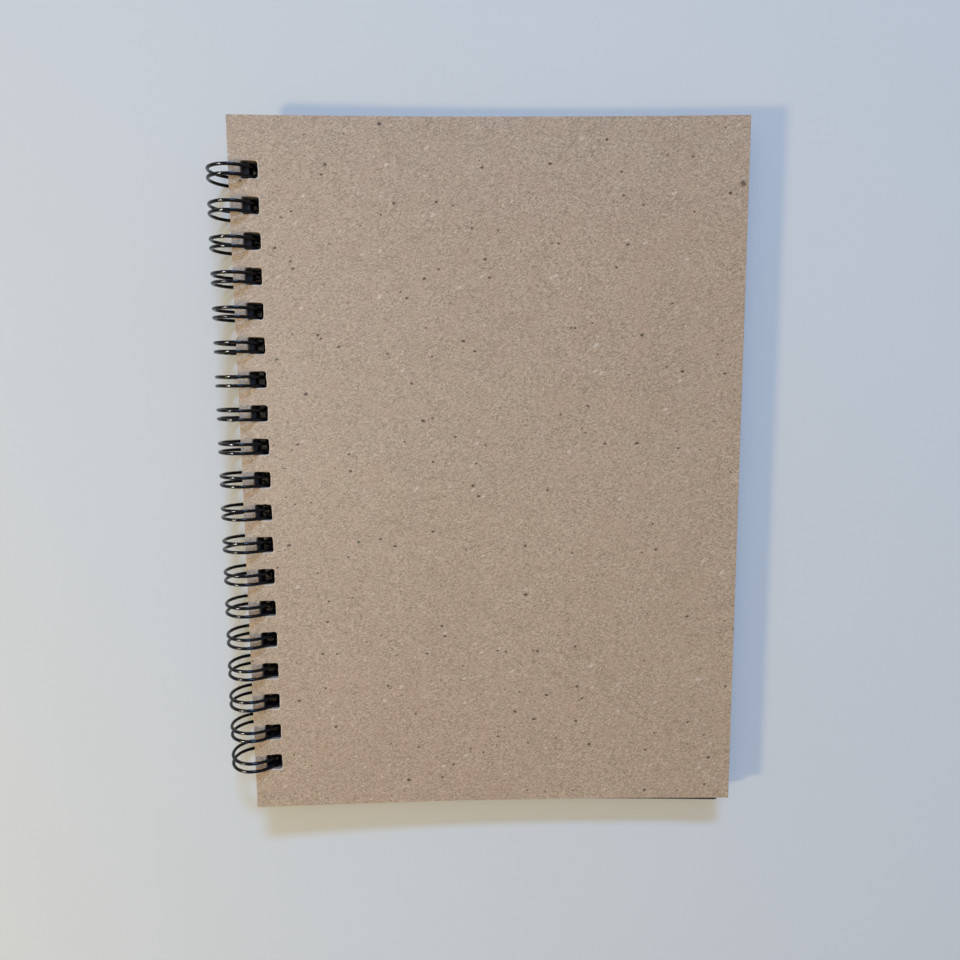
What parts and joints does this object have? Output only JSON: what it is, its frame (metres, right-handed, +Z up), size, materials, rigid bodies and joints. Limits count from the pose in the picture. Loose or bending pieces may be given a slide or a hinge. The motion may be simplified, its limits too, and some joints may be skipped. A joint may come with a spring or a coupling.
{
  "type": "spiral notebook",
  "caption": "Small notebook lying closed: two brown board covers and a block of dark leaves on a black twin-loop wire along one long edge.",
  "frame": {"origin": "centre of the notebook's footprint, on the surface it lies on", "axes": "+X from the wire to the fore edge, +Y from the tail to the head, +Z up out of the front cover"},
  "size_m": [0.1354, 0.1792, 0.0128],
  "materials": {
    "front_board": "matt recycled kraft board with fine fibres and dark flecks",
    "back_board": "matt recycled kraft board with fine fibres and dark flecks",
    "leaves": "matt black paper",
    "wire": "glossy black coated steel wire"
  },
  "bodies": {
    "pages_and_wire": {"page_block": "leaves", "binding_wire": "wire"},
    "front": {"front_cover": "front_board"},
    "back": {"back_cover": "back_board"}
  },
  "joints": [
    {"name": "front_cover_turn", "type": "hinge", "parent": "pages_and_wire", "child": "front", "pos_m": [-0.06126, 0, 0.00643], "axis": [0, -1, 0], "range_deg": [0, 180]},
    {"name": "back_cover_turn", "type": "hinge", "parent": "pages_and_wire", "child": "back", "pos_m": [-0.06126, 0, 0.00643], "axis": [0, 1, 0], "range_deg": [0, 180]}
  ]
}
